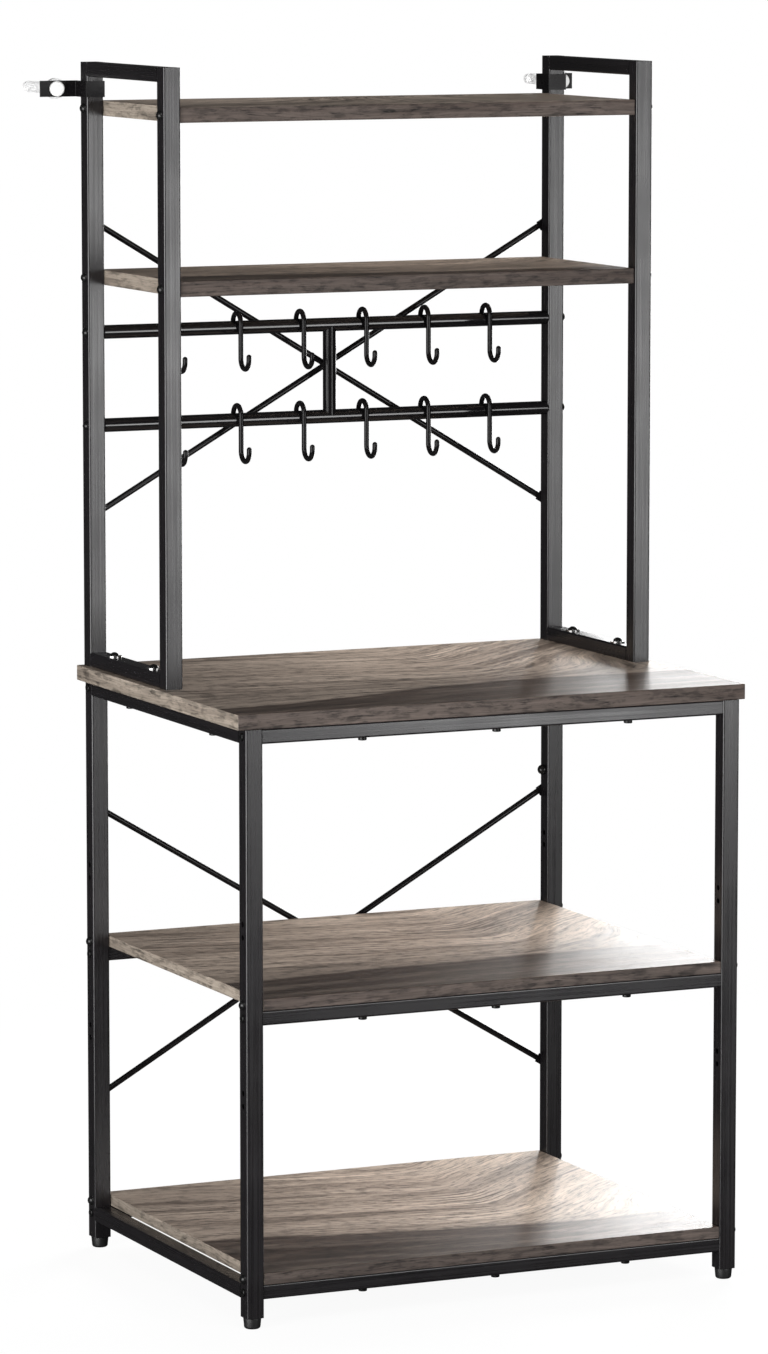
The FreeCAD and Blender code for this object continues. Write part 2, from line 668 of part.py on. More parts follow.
legDome = addDomeBolt("LegDome", "domeHead", "domeHeadHeight", "boltShank", "legWidth + domeBoltGrip")
postDome = addDomeBolt("PostDome", "domeHead", "domeHeadHeight", "boltShank", "postWidth + domeBoltGrip")
spareDome = addDomeBolt("SpareDome", "domeHead", "spareDomeHeight", "boltShank", "spareDomeShank")
legPlaces = [(f"{sign}baseWidth / 2", deep, level, heads[side])
             for side, sign in sides.items() for deep in legEnds for level in shelfBoltLevels]
postPlaces = [(f"{sign}hutchWidth / 2", deep, f"worktopTop + {rise} + hutchShelfThickness / 2", heads[side])
              for side, sign in sides.items() for deep in postEnds for rise in hutchShelves.values()]
postPlaces += [(f"{sign}hutchWidth / 2", "hookRailDeep", f"worktopTop + {rise}", heads[side])
               for side, sign in sides.items() for rise in hookRails.values()]
sparePlaces = [("legInner", "legDeep", "spareDomeLevel", headLeft)]
addGroup("dome_bolts", addCopies(legDome, legPlaces) + addCopies(postDome, postPlaces)
         + addCopies(spareDome, sparePlaces))

boardScrew = addPanScrew("BoardScrew", "screwHead", "screwHeadHeight", "screwShank",
                         "crossRailSize + screwGrip")
screwPlaces = [(across, deep, f"{level} - crossRailSize", headDown) for level in railLevels.values()
               for deep in ("-crossRailDeep", "crossRailDeep") for across in railScrews]
sideScrew = addPanScrew("SideScrew", "screwHead", "screwHeadHeight", "screwShank",
                        "sideRailHeight + screwGrip")
sidePlaces = [(f"{sign}(baseWidth - sideRailWidth) / 2", f"{shift}sideScrewSpacing / 2",
               "worktopLevel - sideRailHeight", headDown)
              for sign in sides.values() for shift in ("", "-")]
addGroup("board_screws", addCopies(boardScrew, screwPlaces) + addCopies(sideScrew, sidePlaces))

hutchBolt = addDomeBolt("HutchBolt", "domeHead", "hutchBoltHeadHeight", "boltShank",
                        "washerThickness + hutchRailHeight + hutchBoltGrip")
washer = document.addObject("PartDesign::Body", "Washer")
addPad(washer, addCircles(addSketch(washer, "XY_Plane"), [("0", "0")], "washerDiameter"), "washerThickness")
drill(washer, "XY_Plane", [("0", "0")], "boltHole")
railTop = "worktopTop + hutchRailHeight"
boltPlaces = [(f"{sign}postAcross", deep) for sign in sides.values() for deep in hutchBoltPlaces]
addGroup("hutch_bolts",
         addCopies(hutchBolt, [(*spot, f"{railTop} + washerThickness", headUp) for spot in boltPlaces])
         + addCopies(washer, [(*spot, railTop, headUp) for spot in boltPlaces]))

lugScrew = addDomeBolt("LugScrew", "lugScrewHead", "lugScrewHeadHeight", "screwShank",
                       "lugThickness + lugScrewGrip")
lugPlaces = []
for side, sign in sides.items():
    lugPlaces += [(f"{sign}legAcross", "baseDepth / 2 + lugThickness", level, headBack)
                  for level in baseLugLevels[side]]
    lugPlaces += [(f"{sign}postAcross", "hutchRear + lugThickness", f"worktopTop + {level}", headBack)
                  for level in hutchLugLevels[side]]
addGroup("brace_screws", addCopies(lugScrew, lugPlaces))

# Wall fixings: a cap clipped over the head of each wall screw, and a collar and ribbed plug behind
wallScrew = document.addObject("PartDesign::Body", "WallScrew")
addPad(wallScrew, addCircles(addSketch(wallScrew, "XY_Plane"), [("0", "0")], "wallScrewHead"),
       "wallScrewHeadHeight")
addShank(wallScrew, "screwShank", "wallScrewLength")
cap = document.addObject("PartDesign::Body", "Cap")
button = addPad(cap, addCircles(addSketch(cap, "XY_Plane"), [("0", "0")], "capDiameter"), "capHeight")
addRounding(cap, button, edgesAt(button.Shape, value("capHeight")), "capHeight / 2")
drill(cap, "XY_Plane", [("0", "0")], "wallScrewHead + 2 * capClearance", "0",
      "wallScrewHeadHeight + capClearance")
collar = document.addObject("PartDesign::Body", "Collar")
addPad(collar, addCircles(addSketch(collar, "XY_Plane"), [("0", "0")], "collarDiameter"), "collarThickness")
drill(collar, "XY_Plane", [("0", "0")], "screwHole")
plug = document.addObject("PartDesign::Body", "Plug")
addPad(plug, addCircles(addSketch(plug, "XY_Plane"), [("0", "0")], "plugCore"), "plugLength")
for number in range(plugRibCount):
    ribStart = f"plugLength - plugRibWidth - {number} * plugRibPitch - plugRibPitch / 2"
    rib = addCircles(addSketch(plug, "XY_Plane", ribStart), [("0", "0")], "plugDiameter")
    addPad(plug, rib, "plugRibWidth")
drill(plug, "XY_Plane", [("0", "0")], "screwHole", "plugLength",
      "wallScrewLength - strapThickness - collarThickness + holeDepthMargin", False)
addGroup("wall_screws", addCopies(wallScrew, [
    (across, "flangeFront", "strapLevel", headFront) for across in wallScrewPlaces]))
addGroup("screw_caps", addCopies(cap, [
    (across, "flangeFront", "strapLevel", headFront) for across in wallScrewPlaces]))
addGroup("wall_plugs",
         addCopies(collar, [(across, "flangeRear + collarThickness", "strapLevel", headFront)
                            for across in wallScrewPlaces])
         + addCopies(plug, [(across, "plugRear", "strapLevel", headFront) for across in wallScrewPlaces]))

document.recompute()

# The nodes are the top-level pieces whose labels are plain lower-case words
os.makedirs("parts", exist_ok=True)
for item in document.Objects:
    if {"Invalid", "Error"} & set(item.State):
        raise RuntimeError(f"{item.Label} did not build: {item.State}")
nodes = [item for item in document.Objects if re.fullmatch(r"[a-z]+(_[a-z0-9]+)*", item.Label)]
for node in nodes:
    shape = node.Shape
    if shape.isNull() or not shape.isValid():
        raise RuntimeError(f"{node.Label} has no sound shape")
    shape.exportStep(f"parts/{node.Label}.step")
    box = shape.BoundBox
    size = f"{box.XLength:.2f} x {box.YLength:.2f} x {box.ZLength:.2f}"
    print(f"{node.Label}: {len(shape.Solids)} solids, {size}")
print(len(nodes), "nodes")
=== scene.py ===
import math

import bpy
import numpy as np
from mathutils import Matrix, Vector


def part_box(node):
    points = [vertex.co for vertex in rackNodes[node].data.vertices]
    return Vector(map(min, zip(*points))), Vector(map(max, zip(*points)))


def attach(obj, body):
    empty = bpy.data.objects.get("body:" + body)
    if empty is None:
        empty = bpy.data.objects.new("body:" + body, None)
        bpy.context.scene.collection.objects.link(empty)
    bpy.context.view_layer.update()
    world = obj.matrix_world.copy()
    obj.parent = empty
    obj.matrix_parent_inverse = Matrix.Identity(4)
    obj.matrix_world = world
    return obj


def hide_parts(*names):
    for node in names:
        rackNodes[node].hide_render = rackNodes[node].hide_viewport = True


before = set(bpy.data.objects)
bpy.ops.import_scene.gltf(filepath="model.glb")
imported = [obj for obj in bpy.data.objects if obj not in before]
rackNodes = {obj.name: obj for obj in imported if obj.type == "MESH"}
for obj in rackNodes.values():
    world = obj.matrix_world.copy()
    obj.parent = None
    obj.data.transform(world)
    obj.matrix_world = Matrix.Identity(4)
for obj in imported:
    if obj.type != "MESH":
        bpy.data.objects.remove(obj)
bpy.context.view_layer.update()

print("rack frame loaded,", len(rackNodes), "nodes")


# Small helpers for objects and shader trees

def placeObject(name, data):
    thing = bpy.data.objects.new(name, data)
    bpy.context.scene.collection.objects.link(thing)
    return thing


# A socket is linked where its value is another node's result, and set where it is a constant
def setSockets(tree, node, values):
    for socket, value in values.items():
        if isinstance(value, bpy.types.NodeSocket):
            tree.links.new(value, node.inputs[socket])
        else:
            node.inputs[socket].default_value = value


def addNode(tree, kind, values=None, **settings):
    node = tree.nodes.new(kind)
    for name, setting in settings.items():
        setattr(node, name, setting)
    setSockets(tree, node, values or {})
    return node


def addMath(tree, operation, *values):
    return addNode(tree, "ShaderNodeMath", dict(enumerate(values)), operation=operation).outputs[0]


# One operation on two or more values, worked from left to right
def chainMath(operation):
    def chained(tree, total, *others):
        for other in others:
            total = addMath(tree, operation, total, other)
        return total
    return chained


plus, minus, times = (chainMath(operation) for operation in ("ADD", "SUBTRACT", "MULTIPLY"))


def addVectorMath(tree, operation, *values):
    return addNode(tree, "ShaderNodeVectorMath", dict(enumerate(values)), operation=operation).outputs[0]


def scaleColour(tree, colour, amount):
    return addNode(tree, "ShaderNodeVectorMath", {0: colour, "Scale": amount}, operation="SCALE").outputs[0]


def splitPlace(tree, place):
    return addNode(tree, "ShaderNodeSeparateXYZ", {0: place}).outputs


def joinPlace(tree, *values):
    return addNode(tree, "ShaderNodeCombineXYZ", dict(enumerate(values))).outputs[0]


def mixValues(tree, amount, first, second):
    return addNode(tree, "ShaderNodeMix", {0: amount, 2: first, 3: second}).outputs[0]


def mixColours(tree, amount, first, second):
    return addNode(tree, "ShaderNodeMix", {0: amount, 6: first, 7: second}, data_type="RGBA").outputs[2]


def mapRange(tree, value, low, high, newLow=0.0, newHigh=1.0, smooth=True):
    node = addNode(tree, "ShaderNodeMapRange", {0: value, 1: low, 2: high, 3: newLow, 4: newHigh},
                   interpolation_type="SMOOTHSTEP" if smooth else "LINEAR")
    return node.outputs[0]


# Lays the middle of a noise evenly over low to high
def vary(tree, noise, low, high, start=0.3):
    return mapRange(tree, noise, start, 1 - start, low, high, smooth=False)


# Rises over one range of the value and falls over another
def hump(tree, value, rise, fall):
    return times(tree, mapRange(tree, value, *rise), mapRange(tree, value, *fall))


# The stretch is the number of blobs per metre along each axis
def addNoise(tree, place, stretch, detail=3.0, roughness=0.5):
    stretched = addVectorMath(tree, "MULTIPLY", place, stretch)
    node = addNode(tree, "ShaderNodeTexNoise", {"Vector": stretched, "Scale": 1.0, "Detail": detail,
                                                "Roughness": roughness})
    return node.outputs["Fac"]


def addBump(tree, height, strength, distance):
    node = addNode(tree, "ShaderNodeBump", {"Height": height, "Strength": strength, "Distance": distance})
    return node.outputs[0]


def newGroup(name, inputs, outputs):
    group = bpy.data.node_groups.new(name, "ShaderNodeTree")
    for direction, sockets in (("INPUT", inputs), ("OUTPUT", outputs)):
        for label, kind in sockets.items():
            group.interface.new_socket(label, in_out=direction, socket_type=f"NodeSocket{kind}")
    return group, group.nodes.new("NodeGroupInput").outputs, group.nodes.new("NodeGroupOutput")


def useGroup(tree, group, values):
    return addNode(tree, "ShaderNodeGroup", values, node_tree=group).outputs


def newMaterial(name):
    material = bpy.data.materials.new(name)
    material.use_nodes = True
    tree = material.node_tree
    return material, tree, tree.nodes["Principled BSDF"], tree.nodes.new("ShaderNodeTexCoord").outputs


def coat(nodeName, material):
    mesh = rackNodes[nodeName].data
    mesh.materials.clear()
    mesh.materials.append(material)


# Lengths are in metres of the print's own place. Four numbers are a range and what it is laid over.
walnutLook = {
    # noises: blobs per metre along the grain, across it and into the board, then detail and roughness
    "wander": ((3.2, 9.0, 1.0), 3.0, 0.5),
    "broad": ((1.6, 19.0, 2.0), 3.0, 0.5),
    "streak": ((2.2, 48.0, 5.0), 4.0, 0.6),
    "thread": ((7.0, 190.0, 20.0), 3.0, 0.6),
    "fibre": ((22.0, 640.0, 60.0), 3.0, 0.6),
    "pore": ((60.0, 900.0, 90.0), 1.0, 0.5),
    "fleck": ((55.0, 170.0, 80.0), 3.0, 0.65),
    "poreRange": (0.6, 0.7),
    # the valley's heart, the square of its rounding, and how steep its arms are further across
    "heart": 0.075,
    "heartRound": 0.0004,
    "rightArm": (0.1, 0.34, 0.03, 0.4),
    "leftArm": (0.1, 0.3, -0.03, 0.09),
    "sway": 0.035,
    # late wood: lines per metre across, how far a streak moves them, and each line's two flanks
    "lines": 90.0,
    "lineShift": 2.6,
    "lineRise": (0.5, 0.92),
    "lineFall": (1.0, 0.93),
    "linePatches": (0.42, 0.6, 0.15, 1.0),
    "lineDepth": 0.5,
    # the eye at the heart, where the lines are strong
    "eyeRise": (0.3, 0.345),
    "eyeFall": (0.41, 0.375),
    "eyeReach": (0.09, 0.03),
    "eyeStrength": (0.0, 1.0, 0.3, 1.7),
    # the dark band, its rim and its waves
    "bandReach": (-0.3, 0.12),
    "bandRise": (-0.004, 0.012),
    "bandDepth": 0.9,
    "rimSway": 0.05,
    "rimFray": (0.3, 0.7, -1.0, 1.0),
    "rimFrayDepth": 0.004,
    "rimRise": (-0.012, 0.003),
    "rimFall": (0.02, 0.006),
    "rimDepth": 0.95,
    "waves": 26.0,
    "waveShift": 1.1,
    "waveRise": (0.3, 0.75),
    "waveFall": (1.0, 0.8),
    "waveDepth": 0.26,
    # how much of which brown
    "broadLight": (0.3, 0.62, 0.5, 1.0),
    "streakMiddle": (0.62, 0.36, 0.0, 0.4),
    "streakDark": (0.5, 0.3, 0.0, 0.45),
    # brightness
    "fibreLight": (-0.34, 0.34),
    "threadLight": (0.6, 1.4),
    "fineStart": 0.25,
    "poreDepth": 0.38,
    "fleckDepth": (0.46, 0.64, -0.08, 0.4),
    "plainLight": 0.95,
    "paleAlong": (0.36, 0.05),
    "paleAcross": (0.16, 0.3, 0.0, 0.3),
    # darker to the left and to the front: partly the print, partly painted shade where the light falls off
    "printAndShadeAlong": (-0.3, 0.12, 0.72, 1.1),
    "printAndShadeAcross": (0.12, 0.3, 0.84, 1.06),
    # shares of fibre, pore and late wood in the relief, and of fibre and streak in the roughness
    "relief": (0.5, 0.6, 0.2),
    "sheen": (0.12, 0.1),
}


# Walnut print. Its place runs along the grain in X, across it from the front edge in Y and into the
# board in Z. Across is bent into a valley at the heart, flatter to the left than to the right, and
# the streaks follow it. Near the front edge a dark band rises to the right. Figure 0 leaves out the
# valley, the late wood and the band.
def buildWalnutPrint():
    look = walnutLook
    group, given, out = newGroup(
        "walnutPrint",
        {"Place": "Vector", "Light": "Color", "Middle": "Color", "Dark": "Color", "Figure": "Float",
         "Band Left": "Float", "Band Right": "Float"},
        {"Color": "Color", "Height": "Float", "Sheen": "Float"})
    figure = given["Figure"]
    along, across, depth = splitPlace(group, given["Place"])
    wander = minus(group, addNoise(group, given["Place"], *look["wander"]), 0.5)
    fromHeart = minus(group, along, look["heart"])
    bow = addMath(group, "SQRT", plus(group, times(group, fromHeart, fromHeart), look["heartRound"]))
    rightArm = times(group, plus(group, bow, fromHeart), mapRange(group, across, *look["rightArm"]))
    leftArm = times(group, minus(group, bow, fromHeart), mapRange(group, across, *look["leftArm"]))
    bent = minus(group, across, times(group, plus(group, rightArm, leftArm), figure))
    bent = plus(group, bent, times(group, wander, look["sway"]))
    grain = joinPlace(group, along, bent, depth)
    broad, streak, thread, fibre, pore, fleck = (
        addNoise(group, grain, *look[kind])
        for kind in ("broad", "streak", "thread", "fibre", "pore", "fleck"))
    poreMask = mapRange(group, pore, *look["poreRange"])

    # late wood: thin dark lines, broken up along their way
    ring = addMath(group, "FRACT", plus(group, times(group, bent, look["lines"]),
                                        times(group, streak, look["lineShift"])))
    nearHeart = times(group, mapRange(group, bow, *look["eyeReach"]),
                      hump(group, across, look["eyeRise"], look["eyeFall"]))
    patchy = addMath(group, "MAXIMUM", mapRange(group, broad, *look["linePatches"]), nearHeart)
    lateWood = times(group, hump(group, ring, look["lineRise"], look["lineFall"]), patchy,
                     mapRange(group, nearHeart, *look["eyeStrength"]), figure)

    # dark band along the front, with a darker rim and paler waves inside it
    rim = mixValues(group, mapRange(group, along, *look["bandReach"]),
                    given["Band Left"], given["Band Right"])
    rim = plus(group, minus(group, rim, across), times(group, wander, look["rimSway"]),
               times(group, mapRange(group, thread, *look["rimFray"]), look["rimFrayDepth"]))
    wave = addMath(group, "FRACT", plus(group, times(group, rim, look["waves"]),
                                        times(group, streak, look["waveShift"])))
    wave = times(group, hump(group, wave, look["waveRise"], look["waveFall"]), look["waveDepth"])
    band = times(group, mapRange(group, rim, *look["bandRise"]), minus(group, look["bandDepth"], wave))
    rimLine = times(group, hump(group, rim, look["rimRise"], look["rimFall"]), look["rimDepth"])
    band = times(group, addMath(group, "MAXIMUM", band, rimLine), figure)

    tone = mixColours(group, mapRange(group, broad, *look["broadLight"]), given["Middle"], given["Light"])
    tone = mixColours(group, mapRange(group, streak, *look["streakMiddle"]), tone, given["Middle"])
    tone = mixColours(group, mapRange(group, streak, *look["streakDark"]), tone, given["Dark"])
    tone = mixColours(group, times(group, lateWood, look["lineDepth"]), tone, given["Dark"])
    tone = mixColours(group, band, tone, given["Dark"])

    # brightness, with a paler place round the heart, and darker to the left and to the front: partly the
    # print, partly painted shade where the light falls off
    light = plus(group, vary(group, fibre, *look["fibreLight"], start=look["fineStart"]),
                 vary(group, thread, *look["threadLight"], start=look["fineStart"]))
    light = minus(group, light, times(group, poreMask, look["poreDepth"]),
                  mapRange(group, fleck, *look["fleckDepth"]))
    pale = times(group, mapRange(group, bow, *look["paleAlong"]),
                 mapRange(group, across, *look["paleAcross"]))
    printAndShadeFade = times(group, mapRange(group, along, *look["printAndShadeAlong"]),
                 mapRange(group, across, *look["printAndShadeAcross"]))
    light = times(group, light, plus(group, look["plainLight"], times(group, pale, figure)),
                  mixValues(group, figure, 1.0, printAndShadeFade))

    fibreRelief, poreRelief, lineRelief = look["relief"]
    fibreSheen, streakSheen = look["sheen"]
    setSockets(group, out, {
        "Color": scaleColour(group, tone, light),
        "Height": minus(group, times(group, fibre, fibreRelief), times(group, poreMask, poreRelief),
                        times(group, lateWood, lineRelief)),
        "Sheen": plus(group, times(group, fibre, fibreSheen), times(group, streak, streakSheen))})
    return group


powderLook = {
    # noises: blobs per metre, and detail
    "peel": ((900, 900, 900), 2.0),
    "grit": ((2600, 2600, 2600), 1.0),
    "cloud": ((14, 14, 14), 3.0),
    "drawn": ((420, 420, 420), 3.0),
    # what the drawn lines and the clouds do to the brightness and to the roughness
    "drawnLight": (0.72, 1.2),
    "cloudLight": (-0.08, 0.12),
    "drawnRough": (-0.05, 0.06),
    "cloudRough": (0.25, 0.31),
    "peelShare": 0.7,
    "gritShare": 0.3,
    "depth": 0.0002,
}


# Powder coat: a fine orange peel, a few specks, and faint lines left by the drawn tube under it
def buildPowderCoat():
    look = powderLook
    group, given, out = newGroup("powderCoat", {"Place": "Vector", "Stretch": "Vector", "Base": "Color"},
                                 {"Color": "Color", "Height": "Float", "Roughness": "Float"})
    place = given["Place"]
    peel, grit, cloud = (addNoise(group, place, *look[kind]) for kind in ("peel", "grit", "cloud"))
    drawn = addNoise(group, addVectorMath(group, "MULTIPLY", place, given["Stretch"]), *look["drawn"])
    light = plus(group, vary(group, drawn, *look["drawnLight"]), vary(group, cloud, *look["cloudLight"]))
    setSockets(group, out, {
        "Color": scaleColour(group, given["Base"], light),
        "Height": plus(group, times(group, peel, look["peelShare"]), times(group, grit, look["gritShare"])),
        "Roughness": plus(group, vary(group, drawn, *look["drawnRough"]),
                          vary(group, cloud, *look["cloudRough"]))})
    return group


walnutPrint = buildWalnutPrint()
powderCoat = buildPowderCoat()
print("shared finishes built")

boardLook = {
    # light, middle and dark brown of the flat faces, of the front and rear edges and of the ends; the edges'
    # browns are darkened, a painted shade
    "face": ((0.405, 0.33, 0.27, 1), (0.205, 0.16, 0.128, 1), (0.056, 0.036, 0.028, 1)),
    # the front and rear edges: the print darkened into painted shade
    "edge": ((0.09, 0.07, 0.06, 1), (0.03, 0.022, 0.019, 1), (0.056, 0.036, 0.028, 1)),
    "end": ((0.28, 0.238, 0.196, 1), (0.215, 0.177, 0.143, 1), (0.11, 0.09, 0.075, 1)),
    "roughness": 0.37,
    "sheenMean": 0.11,         # what the print adds to the roughness on average
    "edgeRougher": 0.3,
    "level": 0.28,
    "relief": (0.25, 0.0004),  # strength and depth
    "turn": (0.6, 0.75),       # how far a normal has turned to an edge or end where its print takes over
    # node: where its print starts along and across the grain, and how deep its dark band is
    # at the left and at the right
    "boards": {
        "worktop": (-0.0095, 0.28, 0.055, 0.128),
        "middle_shelf": (-0.045, 0.31, 0.13, 0.15),
        "bottom_shelf": (-0.03, 0.385, 0.27, 0.2),
        "hutch_shelf_top": (0.24, 0.17, 0.14, 0.1),
        "hutch_shelf_middle": (-0.06, 0.13, 0.14, 0.1),
    },
}


# The faces have the print with its figure. The front and rear edges have the print without it, darkened as
# painted shade, and the ends, which run from front to back, a paler one.
def makeBoardMaterial(nodeName, cut):
    material, tree, shader, place = newMaterial(f"board_{nodeName}")
    start, front, bandLeft, bandRight = cut
    axes = splitPlace(tree, place["Object"])
    facing = splitPlace(tree, addVectorMath(tree, "ABSOLUTE", place["Normal"]))
    onEnd, onEdge = (mapRange(tree, facing[axis], *boardLook["turn"]) for axis in (0, 1))
    # which axes run along, across and into the print, where it starts, and its figure
    sides = {
        "face": ((0, 1, 2), (start, front, 0), 1.0),
        "edge": ((0, 2, 1), (start * 9 + 11, front * 7 + 4, 0), 0.0),
        "end": ((1, 2, 0), (start * 9 + 17, front * 7 + 9, 0), 0.0),
    }
    prints = []
    for sideName, (order, shift, figure) in sides.items():
        light, middle, dark = boardLook[sideName]
        sidePlace = addVectorMath(tree, "ADD", joinPlace(tree, *(axes[axis] for axis in order)), shift)
        prints.append(useGroup(tree, walnutPrint, {
            "Place": sidePlace, "Light": light, "Middle": middle, "Dark": dark, "Figure": figure,
            "Band Left": bandLeft, "Band Right": bandRight}))
    face, edge, end = prints
    colour, height = (mix(tree, onEnd, mix(tree, onEdge, face[socket], edge[socket]), end[socket])
                      for mix, socket in ((mixColours, "Color"), (mixValues, "Height")))
    rough = plus(tree, face["Sheen"], boardLook["roughness"] - boardLook["sheenMean"],
                 times(tree, onEdge, boardLook["edgeRougher"]))
    setSockets(tree, shader, {"Base Color": colour, "Roughness": rough,
                              "Normal": addBump(tree, height, *boardLook["relief"]),
                              "Specular IOR Level": boardLook["level"]})
    return material


for nodeName, cut in boardLook["boards"].items():
    coat(nodeName, makeBoardMaterial(nodeName, cut))
print("boards finished")

coatBlack = {
    "frame": (0.007, 0.006, 0.007, 1),
    "smooth": (0.006, 0.0055, 0.006, 1),
    "fastener": (0.006, 0.006, 0.006, 1),
}
# black, stretch, roughness shift, peel, gloss level, and how the names of its nodes start. The stretch
# is small along the way the tube was drawn, which leaves long faint lines.
coatLook = {
    "uprightCoat": ("frame", (1, 1, 0.01), 0.0, 0.04, 0.5, ("leg_", "hutch_post_")),
    "crossCoat": ("frame", (0.01, 1, 1), 0.0, 0.04, 0.5, ("front_rail_", "rear_rail_")),
    "sideCoat": ("frame", (1, 0.01, 1), 0.0, 0.04, 0.5,
                 ("side_rail_", "hutch_top_rail_", "hutch_bottom_rail_")),
    "hookRailCoat": ("smooth", (0.01, 1, 1), -0.17, 0.02, 0.38, ("hook_rail_upper", "hook_rail_lower")),
    "linkCoat": ("smooth", (1, 1, 0.01), -0.19, 0.01, 0.12, ("hook_rail_link",)),
    "rodCoat": ("smooth", (0.05, 1, 0.05), -0.14, 0.02, 0.12, ("base_brace_", "hutch_brace_")),
    "hookCoat": ("smooth", (1, 1, 1), -0.17, 0.01, 0.13, ("hook_upper_", "hook_lower_")),
    "fastenerCoat": ("fastener", (1, 1, 1), -0.05, 0.02, 0.25,
                     ("rail_bolts", "dome_bolts", "board_screws", "brace_screws")),
    "bracketCoat": ("smooth", (1, 1, 1), -0.05, 0.02, 0.12, ("anti_tip_",)),
}


def makeCoatMaterial(name, black, stretch, roughShift, peel, level):
    material, tree, shader, place = newMaterial(name)
    finish = useGroup(tree, powderCoat, {"Place": place["Object"], "Stretch": stretch,
                                         "Base": coatBlack[black]})
    setSockets(tree, shader, {"Base Color": finish["Color"],
                              "Roughness": plus(tree, finish["Roughness"], roughShift),
                              "Normal": addBump(tree, finish["Height"], peel, powderLook["depth"]),
                              "Specular IOR Level": level})
    return material


for name, (*values, starts) in coatLook.items():
    material = makeCoatMaterial(name, *values)
    for nodeName in rackNodes:
        if nodeName.startswith(starts):
            coat(nodeName, material)

washerLook = {
    "tone": (0.42, 0.415, 0.41),
    "top": 0.68752,             # the washers lie on the rails, under this height
    "edge": 0.0001,             # how quickly washer turns to dome there
    "turned": ((300, 300, 2500), 2.0),
    "turnedLight": (0.85, 1.1),
    "smoother": 0.04,
    "level": 0.3,
}


# The hutch's bolts are black domes on bright washers
def makeHutchBoltMaterial():
    look = washerLook
    material, tree, shader, place = newMaterial("hutchBoltCoat")
    isDome = mapRange(tree, splitPlace(tree, place["Object"])[2], look["top"], look["top"] + look["edge"])
    finish = useGroup(tree, powderCoat, {"Place": place["Object"], "Stretch": (1, 1, 1),
                                         "Base": coatBlack["fastener"]})
    turned = addNoise(tree, place["Object"], *look["turned"])
    washer = scaleColour(tree, look["tone"], vary(tree, turned, *look["turnedLight"]))
    setSockets(tree, shader, {"Base Color": mixColours(tree, isDome, washer, finish["Color"]),
                              "Metallic": minus(tree, 1.0, isDome),
                              "Roughness": minus(tree, finish["Roughness"], look["smoother"]),
                              "Specular IOR Level": look["level"]})
    return material


coat("hutch_bolts", makeHutchBoltMaterial())
print("metal finished")

plasticLook = {
    # base, roughness and translucency
    "footPlastic": ((0.008, 0.008, 0.008), 0.42, 0.0),
    "capPlastic": ((0.78, 0.78, 0.77), 0.3, 0.0),
    "plugPlastic": ((0.86, 0.86, 0.86), 0.35, 0.35),
    "screwSteel": ((0.45, 0.45, 0.44), 0.3, 0.0),
}
mouldLook = {
    "mould": ((1500, 1500, 1500), 2.0),
    "flow": ((60, 60, 60), 2.0),
    "flowLight": (0.93, 1.05),
    "mouldRough": (-0.04, 0.04),
    "relief": (0.08, 0.0002),
}


def makePlasticMaterial(name):
    base, roughness, translucency = plasticLook[name]
    material, tree, shader, place = newMaterial(name)
    mould, flow = (addNoise(tree, place["Object"], *mouldLook[kind]) for kind in ("mould", "flow"))
    setSockets(tree, shader, {
        "Base Color": scaleColour(tree, base, vary(tree, flow, *mouldLook["flowLight"])),
        "Roughness": plus(tree, vary(tree, mould, *mouldLook["mouldRough"]), roughness),
        "Normal": addBump(tree, mould, *mouldLook["relief"]),
        "Transmission Weight": translucency})
    return material


footPlastic = makePlasticMaterial("footPlastic")
for nodeName, name in (("screw_caps", "capPlastic"), ("wall_plugs", "plugPlastic"),
                       ("wall_screws", "screwSteel")):
    coat(nodeName, makePlasticMaterial(name))
print("plastics finished")

footLook = {
    "sole": 0.0062,         # radius of the flat sole
    "heel": 0.0028,         # radius of the rounding above it
    "brim": 0.0098,         # radius of the cup at its top
    "shoulder": 0.0007,     # radius of the rounding at the top
    "cupTop": 0.0119,       # height of the cup
    "stem": 0.004,          # radius of the threaded stem
    "pitch": 0.00125,       # the thread's pitch
    "dip": 0.00025,         # half the thread's depth
    "stemPoints": 141,
    "roundPoints": 9,
    "segments": 72,
    "crease": 40,           # degrees from which an edge is sharp
}


# A turned piece: the point at angle a of the profile's point (r, h) is (r cos a, r sin a, h) from the
# axis. The profile starts and ends on the axis, so its two ends are poles closed by fans.
def turnPiece(name, profile, axis, segments):
    angle = np.arange(segments) * 2 * np.pi / segments
    radius, height = profile[1:-1, 0:1], profile[1:-1, 1:2]
    rings = np.stack([radius * np.cos(angle) + axis[0], radius * np.sin(angle) + axis[1],
                      np.repeat(height, segments, 1)], 2).reshape(-1, 3)
    poles = np.array([[axis[0], axis[1], profile[0, 1]], [axis[0], axis[1], profile[-1, 1]]])
    here = np.arange(segments)
    after = (here + 1) % segments
    row = np.arange(len(profile) - 3)[:, None] * segments
    quads = np.stack([row + here, row + after, row + segments + after, row + segments + here], 2)
    last = (len(profile) - 3) * segments
    bottom = np.stack([np.full(segments, len(rings)), after, here], 1)
    top = np.stack([np.full(segments, len(rings) + 1), last + here, last + after], 1)
    mesh = bpy.data.meshes.new(name)
    mesh.from_pydata(np.vstack([rings, poles]).tolist(), [],
                     quads.reshape(-1, 4).tolist() + bottom.tolist() + top.tolist())
    mesh.shade_smooth()
    mesh.set_sharp_from_angle(angle=math.radians(footLook["crease"]))
    return placeObject(name, mesh)


